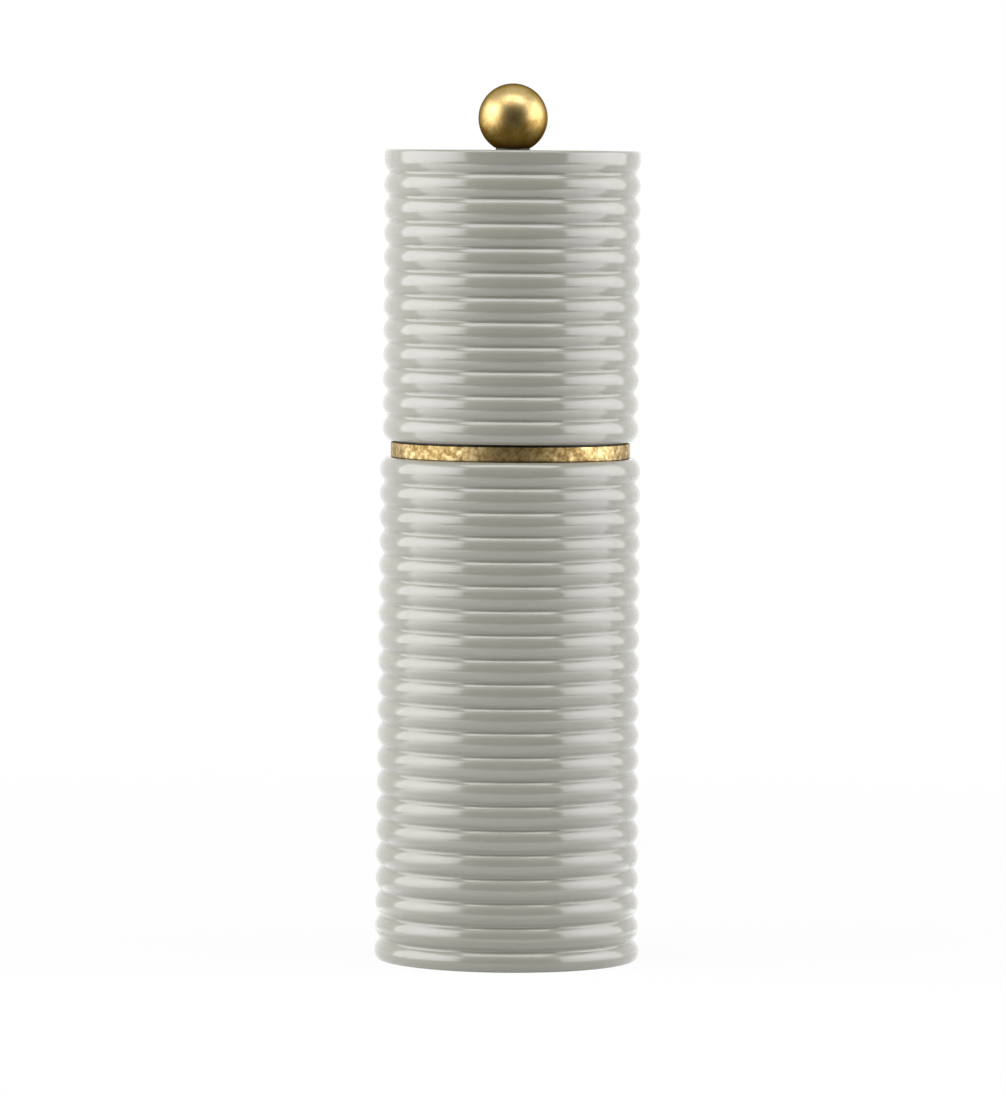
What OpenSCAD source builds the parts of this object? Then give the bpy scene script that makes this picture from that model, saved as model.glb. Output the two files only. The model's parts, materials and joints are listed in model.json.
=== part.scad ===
// Ribbed column pepper mill with a ceramic grinder.
// Origin on the table at the centre of the foot, +Z up along the mill's axis. Millimetres.

/* [Body] */
// Diameter over the body's ribs just above the foot
body_d = 72.5; // [67:0.1:78]
// Number of ribs on the body, counting the foot rib
body_ribs = 21; // [14:1:28]
// Height of one body rib, groove to groove
body_pitch = 6.62; // [5.8:0.01:7.4]
// Radius of the ribs' rounded faces
bead_r = 4.1; // [3.8:0.1:5]
// Radius in the bottom of the grooves
groove_r = 1; // [0.5:0.1:1.3]
// How far the body's side leans in from its foot to its top
body_taper = 0.5; // [0:0.1:1]
// How far the foot rib stands out past the other ribs
foot_spread = 0.2; // [0:0.1:1]
// Height of the foot rib's widest line above the table
foot_rise = 2.3; // [1.6:0.1:3]
// Chamfer around the underside
base_chamfer = 0.3; // [0.2:0.1:1.2]
// Diameter of the peppercorn chamber
chamber_d = 42; // [40:0.5:45]
// Diameter of the socket that takes the head's tenon
socket_d = 48; // [46.5:0.5:50]
// Wall of the wooden neck inside the band
neck_wall = 4; // [3:0.5:5]

/* [Head] */
// Diameter over the head's ribs
head_d = 70.3; // [67:0.1:78]
// Number of ribs on the head
head_ribs = 12; // [8:1:16]
// Height of one head rib, groove to groove
head_pitch = 6.66; // [5.8:0.01:7.4]
// Height of the top rib's square upper half
top_rise = 2.9; // [2:0.1:4]
// Radius round the head's top rim
rim_r = 1; // [0.4:0.1:1.6]
// Length of the tenon under the head
tenon_l = 16.2; // [12:0.1:24]
// Room between the tenon's end and the socket floor
tenon_gap = 1; // [0.5:0.1:2]
// Diameter of the hole for the shaft
shaft_hole_d = 8; // [7.6:0.1:9]

/* [Band and glide ring] */
// Diameter of the gold band
band_d = 65.7; // [63:0.1:66.4]
// Height of the gold band
band_h = 4.2; // [3:0.1:8]
// Chamfer on the band's outer edges
band_chamfer = 0.3; // [0.1:0.1:0.6]
// Thickness of the glide ring's flange
glide_t = 0.6; // [0.5:0.1:1.2]
// Diameter of the glide ring's flange
glide_d = 63; // [60:0.5:64]
// Wall of the glide ring's sleeve
glide_wall = 1.15; // [0.8:0.05:1.4]
// Length of the glide ring's sleeve
glide_l = 8; // [7.8:0.1:11]
// Depth of the snap lip below the head's underside
lip_drop = 7; // [4:0.1:7]
// Height of the snap lip inside the sleeve
glide_lip_h = 0.8; // [0.6:0.1:1.2]
// How far the snap lip reaches into the tenon
glide_lip = 0.35; // [0.2:0.05:0.5]

/* [Knob] */
// Diameter of the ball knob
ball_d = 19; // [17:0.5:24]
// Diameter of the flat under the ball
ball_flat_d = 9.8; // [9.6:0.1:11]
// Diameter of the washer under the ball
washer_d = 9.4; // [9:0.1:9.6]
// Thickness of the washer under the ball
washer_t = 0.6; // [0.5:0.1:1.2]
// Depth of the ball's threaded hole
knob_bore_l = 12.5; // [12:0.1:14]
// Diameter of the locking insert in the ball
insert_d = 6.8; // [6.4:0.1:7.4]
// Depth of the locking insert inside the flat under the ball
insert_recess = 0.5; // [0.2:0.1:1]
// Length of the locking insert
insert_l = 4.5; // [3:0.1:6]
// Diameter of the brass bush in the head
bush_d = 9.2; // [8.8:0.1:9.2]
// Length of the brass bush
bush_l = 12; // [8:0.5:20]
// Diameter of the bush's bore
bush_bore_d = 7.5; // [7.4:0.05:7.9]

/* [Shaft] */
// Width across the square shaft
shaft_w = 5; // [4.8:0.1:5.1]
// Crest diameter of the thread at the shaft's top
thread_d = 4.9; // [4.7:0.1:4.9]
// Pitch of the thread
thread_pitch = 0.8; // [0.7:0.1:1]
// Depth of the thread
thread_depth = 0.4; // [0.3:0.05:0.5]
// Length of thread below the head's top
thread_below = 9.7; // [6:0.1:14]
// Length of thread inside the ball
thread_in_ball = 11.2; // [10:0.1:11.3]
// Diameter of the turned lower end
tail_d = 4.8; // [4.2:0.1:4.8]
// Length of the turned lower end
tail_l = 2.5; // [2.3:0.1:2.8]
// Diameter in the clip's groove
clip_groove_d = 3.8; // [3.4:0.1:4]
// Outer diameter of the shaft clip
shaft_clip_d = 8; // [7:0.5:10]
// Thickness of the shaft clip
shaft_clip_t = 0.7; // [0.5:0.1:0.8]

/* [Drive plate] */
// Diameter of the drive plate
plate_d = 36; // [30:0.5:38]
// Thickness of the drive plate
plate_t = 1.5; // [1:0.1:2.5]
// Circle on which the drive plate's screws stand
plate_screw_pcd = 26; // [22:0.5:28]

/* [Grinder housing] */
// Height of the flange's underside above the table
flange_recess = 3; // [2:0.1:4]
// Thickness of the flange
flange_t = 2.4; // [1.8:0.1:3]
// Diameter of the flange
flange_d = 53.6; // [52:0.1:56]
// Height of the housing from the flange's underside to its top
housing_h = 25; // [24.5:0.1:32]
// Wall of the housing's sleeve
housing_wall = 3.4; // [3:0.1:3.5]
// Height of the lip that stops the stator
lip_h = 3.5; // [3:0.1:5]
// How far the lip reaches in over the stator
lip_reach = 1.4; // [1:0.1:1.8]
// Circle on which the housing's screws stand
housing_screw_pcd = 47.6; // [47:0.1:48]

/* [Grinder] */
// Height of the stator
stator_h = 14; // [13.5:0.1:16]
// Inner diameter at the stator's mouth
stator_mouth_d = 29; // [27:0.1:31]
// Width of the stator's two lugs
lug_w = 3; // [2:0.1:4]
// How far the lugs stand out of the stator
lug_h = 1.2; // [0.8:0.1:1.5]
// Thickness of the snap ring under the stator
snap_t = 1.5; // [1:0.1:1.8]
// Depth of the snap ring's groove
snap_groove = 0.6; // [0.4:0.1:1]
// Radial width of the snap ring
snap_w = 2.3; // [1.8:0.1:2.4]
// Opening of the snap ring in degrees
snap_gap = 34; // [24:1:60]
// Diameter across the rotor's base
rotor_d = 27; // [26:0.1:27.4]
// Diameter at the top of the rotor's fine band
rotor_waist_d = 24; // [23:0.1:25]
// Diameter across the rotor's top
rotor_top_d = 15; // [14.2:0.1:18]
// Height of the rotor
rotor_h = 11; // [10:0.1:12]
// Height of the rotor's fine band
fine_h = 3.5; // [3:0.1:4.5]
// Gap between rotor and stator at the middle setting
grind_gap = 0.4; // [0.35:0.05:0.6]
// Number of fine teeth on rotor and stator
fine_teeth = 30; // [18:1:40]
// Depth of the fine teeth
fine_depth = 0.6; // [0.3:0.05:0.8]
// Lean of the fine teeth round the axis, in degrees
fine_lean = 20; // [10:1:30]
// Lean of the rotor's coarse grooves round the axis, in degrees
coarse_lean = 28; // [15:1:35]
// Number of coarse grooves on the rotor
coarse_grooves = 6; // [3:1:8]
// Number of coarse grooves in the stator
stator_grooves = 12; // [6:1:16]
// Width across the coarse grooves' square section
coarse_w = 2.4; // [1.6:0.1:2.8]
// Thickness of the hub's flange under the rotor
hub_flange_t = 1.4; // [1:0.1:1.6]
// Diameter of the hub's flange
hub_flange_d = 18; // [14:0.5:22]
// Corner diameter of the hub's hexagonal core
hub_hex_d = 10.4; // [10.2:0.1:11]
// Thickness of the washer under the hub
rotor_washer_t = 0.6; // [0.5:0.1:0.8]
// Diameter of the washer under the hub
rotor_washer_d = 12; // [10:0.5:14]

/* [Bridge and spring] */
// Thickness of the bridge
bridge_t = 1.6; // [1.2:0.1:2.5]
// Width of the bridge's arms
bridge_w = 7; // [6:0.1:8]
// Diameter of the bridge's middle
bridge_hub_d = 16; // [14:0.5:16]
// Outer diameter of the shaft sleeve
sleeve_d = 8.4; // [8.2:0.1:8.8]
// Length of the shaft sleeve above the rotor
sleeve_l = 13.5; // [11:0.5:20]
// Thickness of the thrust washer
thrust_t = 1; // [0.8:0.1:1.4]
// Diameter of the thrust washer
thrust_d = 14; // [13:0.5:14]
// Diameter of the spring's wire
wire_d = 0.8; // [0.6:0.05:0.85]
// Mean diameter of the spring's coil
coil_d = 10.4; // [10.2:0.1:11]
// Turns of the spring
coil_turns = 4; // [3:0.5:4]

/* [Screws] */
// Diameter of the wood screws' shanks
wood_screw_d = 2.4; // [2:0.1:2.6]
// Diameter of the wood screws' heads
wood_head_d = 4.2; // [3.8:0.1:4.4]
// Height of the wood screws' heads
wood_head_h = 1.2; // [0.8:0.1:1.5]
// Length of the wood screws under their heads
wood_screw_l = 10; // [7:0.5:12]
// Diameter of the bridge screws' shanks
small_screw_d = 2; // [1.6:0.1:2]
// Diameter of the bridge screws' heads
small_head_d = 3.6; // [3.2:0.1:3.8]
// Height of the bridge screws' heads
small_head_h = 1.2; // [0.8:0.1:1.5]
// Length of the bridge screws under their heads
small_screw_l = 9.6; // [6:0.5:12]
// Pitch of the screws' threads
screw_pitch = 0.9; // [0.6:0.1:1.2]
// Depth of the screws' threads
screw_thread = 0.25; // [0.15:0.05:0.35]

/* [Fits] */
// Radial clearance where pieces turn or slide on each other
running = 0.05; // [0.03:0.01:0.1]
// Radial clearance of pieces set into bores
seating = 0.05; // [0.03:0.01:0.1]
// Clearance on each side of the square shaft
square_fit = 0.08; // [0.05:0.01:0.12]
// Free clearance round pieces that don't touch
free = 0.2; // [0.15:0.05:0.3]

/* [Hidden] */
$fn = 96;

// Reach of a cut past the face it opens
over = 1;

// Overlap that lets two arcs cross where they would only touch
crossing = 0.001;

// Distance from the line of the beads' centres out to the centres of the round groove bottoms
function groove_reach(pitch) = sqrt(pow(bead_r + groove_r, 2) - pow(pitch / 2, 2));

// Ribs and outline
body_r = body_d / 2;
head_r = head_d / 2;
foot_r = body_r + foot_spread;
foot_reach = groove_reach(body_pitch) - bead_r - foot_spread;
foot_bead_r = (pow(body_pitch / 2, 2) + pow(foot_reach, 2) - pow(groove_r, 2)) / (2 * (groove_r - foot_reach));
foot_edge_r = foot_r - foot_bead_r + sqrt(pow(foot_bead_r, 2) - pow(foot_rise, 2));
body_top = foot_rise + (body_ribs - 0.5) * body_pitch;
body_lean = asin(body_taper / (body_top - foot_rise));
band_top = body_top + band_h;
head_base = band_top + glide_t;
head_crest = head_base + (head_ribs - 0.5) * head_pitch;
head_top = head_crest + top_rise;

// Tenon and socket
neck_r = socket_d / 2 + neck_wall;
tenon_r = socket_d / 2 - free - glide_wall - running;
tenon_end = head_base - tenon_l;
socket_floor = tenon_end - tenon_gap;

// Drive plate
plate_z = tenon_end - plate_t;

// Grinder housing
flange_top = flange_recess + flange_t;
housing_top = flange_recess + housing_h;
sleeve_r = chamber_d / 2 - free;
housing_bore_r = sleeve_r - housing_wall;
lip_z = housing_top - lip_h;
stator_r = housing_bore_r - 2 * seating;
stator_z = lip_z - stator_h;
snap_z = stator_z - snap_t;

// Rotor and hub
rotor_z = stator_z;
rotor_top = rotor_z + rotor_h;
hub_z = rotor_z - hub_flange_t;
tail_z = hub_z - tail_l;
shaft_clip_z = hub_z - rotor_washer_t - shaft_clip_t;

// Bridge, washer and spring
spring_z = rotor_top + thrust_t;
bridge_screw_r = housing_bore_r + housing_wall / 2;

// Knob and thread
knob_z = head_top + washer_t;
ball_z = knob_z + sqrt(pow(ball_d / 2, 2) - pow(ball_flat_d / 2, 2));
insert_z = knob_z + insert_recess;
thread_r = thread_d / 2;
thread_z = head_top - thread_below;
shaft_top = knob_z + thread_in_ball;

// Solid under a round groove bottom centred on the origin, between a bead of radius low and
// one of radius high whose centres lie low_reach and high_reach further in
module groove_bottom(pitch, low, low_reach, high, high_reach) {
    low_part = groove_r / (low + groove_r);
    high_part = groove_r / (high + groove_r);
    difference() {
        polygon([[-low_reach, -pitch / 2 * low_part], [-low_reach * low_part, -pitch / 2 * low_part],
                 [-high_reach * high_part, pitch / 2 * high_part], [-high_reach, pitch / 2 * high_part]]);
        circle(r = groove_r + crossing);
    }
}

// Row of round beads in half section, with their crests at radius r and round grooves between them
module bead_row(r, pitch, count, first_z) {
    reach = groove_reach(pitch);
    for (i = [0 : count - 1])
        translate([r - bead_r, first_z + i * pitch]) circle(r = bead_r);
    for (i = [0 : count - 2])
        translate([r - bead_r + reach, first_z + (i + 0.5) * pitch])
            groove_bottom(pitch, bead_r, reach, bead_r, reach);
    translate([0, first_z]) square([r - bead_r, (count - 1) * pitch]);
}

// Ring of rectangular section between two radii and two heights
module ring(inner, outer, low, high) {
    rotate_extrude() translate([inner, low]) square([outer - inner, high - low]);
}

// Square hole or bar on the axis
module square_bar(width, low, high) {
    translate([-width / 2, -width / 2, low]) cube([width, width, high - low]);
}

// Screw with its head's seat at z = 0 and its point up, with a cross recess
module screw(shank_d, head_d, head_h, length) {
    r = shank_d / 2;
    turns = floor((length - shank_d) / screw_pitch);
    recess_w = head_d / 6;
    difference() {
        rotate_extrude() polygon(concat(
            [[0, -head_h], [head_d * 0.3, -head_h], [head_d / 2, -head_h * 0.4], [head_d / 2, 0], [r, 0]],
            [for (i = [0 : turns - 1]) each [[r, (i + 0.3) * screw_pitch],
                                             [r - screw_thread, (i + 0.8) * screw_pitch]]],
            [[r, turns * screw_pitch + screw_pitch * 0.3], [0, length]]));
        for (a = [0, 90])
            rotate(a) translate([-head_d * 0.3, -recess_w / 2, -head_h - over])
                cube([head_d * 0.6, recess_w, over + head_h * 0.6]);
    }
}

module on_circle(radius, count, start = 0) {
    for (i = [0 : count - 1])
        rotate(start + i * 360 / count) translate([radius, 0, 0]) children();
}

// Body ribs in half section, the foot rib's centre on the origin
module body_rows() {
    reach = groove_reach(body_pitch);
    row_x = body_r - bead_r - foot_r + foot_bead_r;
    translate([foot_bead_r - foot_r, 0]) {
        bead_row(body_r, body_pitch, body_ribs - 1, body_pitch);
        translate([0, -foot_rise - over]) square([foot_r - foot_bead_r, body_top + 2 * over]);
    }
    circle(r = foot_bead_r);
    translate([row_x + reach, body_pitch / 2])
        groove_bottom(body_pitch, foot_bead_r, row_x + reach, bead_r, reach);
}

module body_outline() {
    flat_r = foot_edge_r - base_chamfer;
    intersection() {
        translate([foot_r - foot_bead_r, foot_rise]) rotate(body_lean) body_rows();
        polygon([[0, 0], [flat_r, 0], [flat_r + body_pitch, body_pitch], [flat_r + body_pitch, body_top],
                 [0, body_top]]);
    }
    translate([0, body_top - over]) square([neck_r, band_h + over]);
}

module body_casing() {
    color([0.64, 0.62, 0.58]) difference() {
        rotate_extrude() body_outline();
        translate([0, 0, -over]) cylinder(d = chamber_d, h = band_top + 2 * over);
        translate([0, 0, socket_floor]) cylinder(d = socket_d, h = band_top);
        translate([0, 0, -over]) cylinder(d = flange_d + 2 * free, h = flange_top + over);
        on_circle(housing_screw_pcd / 2, 3, 90)
            cylinder(d = wood_screw_d + 2 * seating, h = flange_recess + wood_screw_l + free);
    }
}

module band_ring() {
    inner = neck_r + seating;
    outer = band_d / 2;
    c = band_chamfer;
    color([0.72, 0.6, 0.38]) rotate_extrude()
        polygon([[inner, body_top], [outer - c, body_top], [outer, body_top + c], [outer, band_top - c],
                 [outer - c, band_top], [inner, band_top]]);
}

module glide_ring() {
    inner = tenon_r + running;
    lip_top = head_base - lip_drop;
    color([0.09, 0.09, 0.1]) rotate_extrude()
        polygon([[inner, head_base], [inner, lip_top], [tenon_r - glide_lip + running, lip_top],
                 [tenon_r - glide_lip + running, lip_top - glide_lip_h], [inner, lip_top - glide_lip_h],
                 [inner, head_base - glide_l], [inner + glide_wall, head_base - glide_l],
                 [inner + glide_wall, band_top], [glide_d / 2, band_top], [glide_d / 2, head_base]]);
}

module head_outline() {
    intersection() {
        union() {
            bead_row(head_r, head_pitch, head_ribs, head_base + head_pitch / 2);
            translate([0, head_base]) square([head_r - bead_r, head_top - head_base]);
            translate([0, head_crest]) square([head_r, top_rise - rim_r]);
            translate([0, head_crest]) square([head_r - rim_r, top_rise]);
            translate([head_r - rim_r, head_top - rim_r]) circle(r = rim_r);
        }
        translate([0, head_base]) square([head_r + over, head_top - head_base]);
    }
    translate([0, tenon_end]) square([tenon_r, tenon_l + over]);
}

module head_casing() {
    lip_top = head_base - lip_drop + running;
    color([0.64, 0.62, 0.58]) difference() {
        rotate_extrude() head_outline();
        translate([0, 0, tenon_end - over]) cylinder(d = shaft_hole_d, h = head_top);
        translate([0, 0, head_top - bush_l]) cylinder(d = bush_d + 2 * seating, h = bush_l + over);
        ring(tenon_r - glide_lip, tenon_r + over, lip_top - glide_lip_h - 2 * running, lip_top);
        translate([0, 0, plate_z]) on_circle(plate_screw_pcd / 2, 3)
            cylinder(d = wood_screw_d + 2 * seating, h = wood_screw_l + free);
    }
}

module top_bush() {
    color([0.76, 0.62, 0.35]) ring(bush_bore_d / 2, bush_d / 2, head_top - bush_l, head_top);
}

module knob_washer() {
    color([0.08, 0.08, 0.08]) ring(thread_r + 3 * running, washer_d / 2, head_top, knob_z);
}

module ball_knob() {
    bore_d = thread_d + 2 * running;
    color([0.79, 0.66, 0.4]) difference() {
        translate([0, 0, ball_z]) sphere(d = ball_d);
        translate([-ball_d, -ball_d, knob_z - ball_d]) cube([2 * ball_d, 2 * ball_d, ball_d]);
        translate([0, 0, knob_z - over]) cylinder(d = bore_d, h = knob_bore_l + over);
        translate([0, 0, knob_z - over])
            cylinder(d = insert_d + 2 * seating, h = insert_z - knob_z + insert_l + over);
    }
}

module lock_insert() {
    color([0.9, 0.9, 0.86]) ring(thread_r + running, insert_d / 2, insert_z, insert_z + insert_l);
}

module drive_plate() {
    color([0.66, 0.66, 0.67]) difference() {
        translate([0, 0, plate_z]) cylinder(d = plate_d, h = plate_t);
        square_bar(shaft_w + 2 * square_fit, plate_z - over, tenon_end + over);
        translate([0, 0, plate_z - over]) on_circle(plate_screw_pcd / 2, 3)
            cylinder(d = wood_screw_d + 2 * free, h = plate_t + 2 * over);
    }
}

module drive_plate_screws() {
    color([0.6, 0.6, 0.61]) translate([0, 0, plate_z]) on_circle(plate_screw_pcd / 2, 3)
        screw(wood_screw_d, wood_head_d, wood_head_h, wood_screw_l);
}

module drive_shaft() {
    turns = floor((shaft_top - thread_z) / thread_pitch) - 1;
    tail_r = tail_d / 2;
    color([0.75, 0.75, 0.76]) union() {
        square_bar(shaft_w, hub_z, thread_z);
        rotate_extrude() polygon(concat(
            [[0, thread_z - over], [thread_r, thread_z - over], [thread_r, thread_z]],
            [for (i = [0 : turns - 1]) each [[thread_r - thread_depth, thread_z + (i + 0.5) * thread_pitch],
                                             [thread_r, thread_z + (i + 1) * thread_pitch]]],
            [[thread_r - thread_depth, shaft_top], [0, shaft_top]]));
        difference() {
            translate([0, 0, tail_z]) cylinder(r = tail_r, h = tail_l + over);
            ring(clip_groove_d / 2, tail_r + over, shaft_clip_z - running, shaft_clip_z + shaft_clip_t);
        }
    }
}

module shaft_sleeve() {
    color([0.88, 0.88, 0.84]) difference() {
        translate([0, 0, rotor_top]) cylinder(d = sleeve_d, h = sleeve_l);
        square_bar(shaft_w + 2 * square_fit, rotor_top - over, rotor_top + sleeve_l + over);
    }
}

module bridge() {
    hole_z = housing_top - over;
    color([0.68, 0.68, 0.69]) difference() {
        union() {
            translate([0, 0, housing_top]) cylinder(d = bridge_hub_d, h = bridge_t);
            intersection() {
                translate([-sleeve_r, -bridge_w / 2, housing_top]) cube([2 * sleeve_r, bridge_w, bridge_t]);
                translate([0, 0, hole_z]) cylinder(r = sleeve_r - free, h = bridge_t + 2 * over);
            }
        }
        translate([0, 0, hole_z]) cylinder(d = sleeve_d + 2 * running, h = bridge_t + 2 * over);
        translate([0, 0, hole_z]) on_circle(bridge_screw_r, 2)
            cylinder(d = small_screw_d + 2 * seating, h = bridge_t + 2 * over);
    }
}

module bridge_screws() {
    color([0.6, 0.6, 0.61]) translate([0, 0, housing_top + bridge_t]) mirror([0, 0, 1])
        on_circle(bridge_screw_r, 2) screw(small_screw_d, small_head_d, small_head_h, small_screw_l);
}

// Coil spring: rings of points round the wire, set along the helix and joined into one skin
module spring() {
    sides = 8;
    turn_steps = 20;
    steps = ceil(coil_turns * turn_steps);
    low = spring_z + wire_d / 2 + running;
    rise = housing_top - spring_z - wire_d - 2 * running;
    points = [for (i = [0 : steps], j = [0 : sides - 1])
        let (turn = 360 * coil_turns * i / steps, side = 360 * j / sides,
             r = coil_d / 2 + wire_d / 2 * cos(side))
        [r * cos(turn), r * sin(turn), low + rise * i / steps + wire_d / 2 * sin(side)]];
    skin = [for (i = [0 : steps - 1], j = [0 : sides - 1])
        let (k = (j + 1) % sides)
        [i * sides + j, (i + 1) * sides + j, (i + 1) * sides + k, i * sides + k]];
    color([0.7, 0.7, 0.72]) polyhedron(points, concat(
        [[for (j = [0 : sides - 1]) j]], skin,
        [[for (j = [sides - 1 : -1 : 0]) steps * sides + j]]));
}

module thrust_washer() {
    color([0.7, 0.7, 0.71]) ring(sleeve_d / 2 + running, thrust_d / 2, rotor_top, spring_z);
}

// Grooves cut along a cone between (r1, z1) and (r2, z2), leaning round the axis by the given angle
module cone_grooves(count, lean, r1, z1, r2, z2) {
    tilt = atan((r2 - r1) / (z2 - z1));
    on_circle((r1 + r2) / 2, count)
        translate([0, 0, (z1 + z2) / 2]) rotate([0, tilt, 0]) rotate([lean, 0, 0]) children();
}

module edge_cut(width, length) {
    rotate(45) cube([width, width, length], center = true);
}

module rotor() {
    waist_z = rotor_z + fine_h;
    color([0.93, 0.92, 0.88]) difference() {
        rotate_extrude() polygon([[0, rotor_z], [rotor_d / 2, rotor_z], [rotor_waist_d / 2, waist_z],
                                  [rotor_top_d / 2, rotor_top], [0, rotor_top]]);
        translate([0, 0, rotor_z - over])
            cylinder(d = hub_hex_d + 2 * seating, h = rotor_h + 2 * over, $fn = 6);
        cone_grooves(fine_teeth, fine_lean, rotor_d / 2, rotor_z, rotor_waist_d / 2, waist_z)
            edge_cut(fine_depth * sqrt(2), 1.5 * fine_h);
        cone_grooves(coarse_grooves, coarse_lean, rotor_waist_d / 2, waist_z, rotor_top_d / 2, rotor_top)
            edge_cut(coarse_w, 1.5 * rotor_h);
    }
}

module rotor_hub() {
    color([0.13, 0.13, 0.14]) difference() {
        union() {
            translate([0, 0, hub_z]) cylinder(d = hub_flange_d, h = hub_flange_t);
            translate([0, 0, hub_z]) cylinder(d = hub_hex_d, h = rotor_top - hub_z, $fn = 6);
        }
        square_bar(shaft_w + 2 * square_fit, hub_z - over, rotor_top + over);
    }
}

module rotor_washer() {
    color([0.7, 0.7, 0.71]) ring(tail_d / 2 + running, rotor_washer_d / 2, hub_z - rotor_washer_t, hub_z);
}

module shaft_clip() {
    slot = clip_groove_d * 0.7;
    color([0.4, 0.4, 0.42]) difference() {
        ring(clip_groove_d / 2 + seating, shaft_clip_d / 2, shaft_clip_z, shaft_clip_z + shaft_clip_t);
        translate([0, -slot / 2, shaft_clip_z - over]) cube([shaft_clip_d, slot, shaft_clip_t + 2 * over]);
    }
}

module stator() {
    waist_z = stator_z + fine_h;
    base_r = rotor_d / 2 + grind_gap;
    waist_r = rotor_waist_d / 2 + grind_gap;
    mouth_r = stator_mouth_d / 2;
    color([0.93, 0.92, 0.88]) difference() {
        union() {
            rotate_extrude() polygon([[base_r, stator_z], [stator_r, stator_z], [stator_r, lip_z],
                                      [mouth_r, lip_z], [waist_r, waist_z]]);
            for (a = [90, 270])
                rotate(a) translate([stator_r - over, -lug_w / 2, stator_z])
                    cube([over + lug_h, lug_w, stator_h]);
        }
        cone_grooves(fine_teeth, -fine_lean, base_r, stator_z, waist_r, waist_z)
            edge_cut(fine_depth * sqrt(2), 1.5 * fine_h);
        cone_grooves(stator_grooves, -fine_lean, waist_r, waist_z, mouth_r, lip_z)
            edge_cut(coarse_w * 0.6, 1.2 * stator_h);
    }
}

module stator_clip() {
    outer = housing_bore_r + snap_groove - seating;
    inner = outer - snap_w;
    ear_r = snap_w / 2;
    color([0.42, 0.42, 0.44]) translate([0, 0, snap_z]) difference() {
        union() {
            rotate([0, 0, snap_gap / 2]) rotate_extrude(angle = 360 - snap_gap)
                translate([inner, 0]) square([snap_w, snap_t]);
            for (a = [snap_gap / 2, 360 - snap_gap / 2])
                rotate(a) translate([inner + ear_r * 0.6, 0, 0]) cylinder(r = ear_r, h = snap_t);
        }
        for (a = [snap_gap / 2, 360 - snap_gap / 2])
            rotate(a) translate([inner + ear_r * 0.6, 0, -over]) cylinder(r = ear_r * 0.4, h = snap_t + 2 * over);
    }
}

module mechanism_housing() {
    lip_r = housing_bore_r - lip_reach;
    groove_r = housing_bore_r + snap_groove;
    color([0.12, 0.12, 0.13]) difference() {
        rotate_extrude() polygon([
            [housing_bore_r, flange_recess], [flange_d / 2, flange_recess], [flange_d / 2, flange_top],
            [sleeve_r, flange_top], [sleeve_r, housing_top], [lip_r + lip_reach * 0.8, housing_top],
            [lip_r, housing_top - lip_h * 0.5], [lip_r, lip_z], [housing_bore_r, lip_z],
            [housing_bore_r, stator_z], [groove_r, stator_z], [groove_r, snap_z - running],
            [housing_bore_r, snap_z - running]]);
        for (a = [90, 270])
            rotate(a) translate([0, -lug_w / 2 - running, flange_recess - over])
                cube([stator_r + lug_h + running, lug_w + 2 * running, lip_z - flange_recess + over]);
        translate([0, 0, flange_recess - over]) on_circle(housing_screw_pcd / 2, 3, 90)
            cylinder(d = wood_screw_d + 2 * free, h = flange_t + 2 * over);
        translate([0, 0, housing_top + bridge_t - small_screw_l - free]) on_circle(bridge_screw_r, 2)
            cylinder(d = small_screw_d + 2 * seating, h = small_screw_l);
    }
}

module housing_screws() {
    color([0.6, 0.6, 0.61]) translate([0, 0, flange_recess]) on_circle(housing_screw_pcd / 2, 3, 90)
        screw(wood_screw_d, wood_head_d, wood_head_h, wood_screw_l);
}

body_casing();
band_ring();
glide_ring();
head_casing();
top_bush();
knob_washer();
ball_knob();
lock_insert();
drive_plate();
drive_plate_screws();
drive_shaft();
shaft_sleeve();
bridge();
bridge_screws();
spring();
thrust_washer();
rotor();
rotor_hub();
rotor_washer();
shaft_clip();
stator();
stator_clip();
mechanism_housing();
housing_screws();
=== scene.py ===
"""Looks of a ribbed column pepper mill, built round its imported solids.

Every surface is worked out with numpy, in metres, in the solids' own frame: +Z runs up the
mill's axis and the table is at z = 0. A profile is a row of (radius, height) points, and a grid
is rows of points that run round the axis.
"""

import json
import math
from functools import cached_property

import bpy
import numpy as np
from bpy.props import FloatProperty, FloatVectorProperty, IntProperty, PointerProperty
from mathutils import Matrix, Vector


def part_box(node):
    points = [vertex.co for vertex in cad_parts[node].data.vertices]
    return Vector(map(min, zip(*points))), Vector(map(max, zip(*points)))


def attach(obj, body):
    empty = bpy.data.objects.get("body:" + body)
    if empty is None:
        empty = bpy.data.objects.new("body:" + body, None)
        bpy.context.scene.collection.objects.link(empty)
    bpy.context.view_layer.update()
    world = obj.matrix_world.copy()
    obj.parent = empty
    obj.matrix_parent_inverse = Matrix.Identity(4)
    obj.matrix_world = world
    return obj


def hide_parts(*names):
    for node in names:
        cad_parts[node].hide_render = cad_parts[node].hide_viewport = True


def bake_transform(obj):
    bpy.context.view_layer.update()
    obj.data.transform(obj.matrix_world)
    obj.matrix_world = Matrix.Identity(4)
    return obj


bl_info = {
    "name": "Ribbed pepper mill",
    "version": (1, 0, 0),
    "blender": (4, 5, 0),
    "location": "View3D > Sidebar > Pepper mill",
    "description": "Dresses the solids of a ribbed column pepper mill and sets up its studio",
    "category": "Add Mesh",
}

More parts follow.
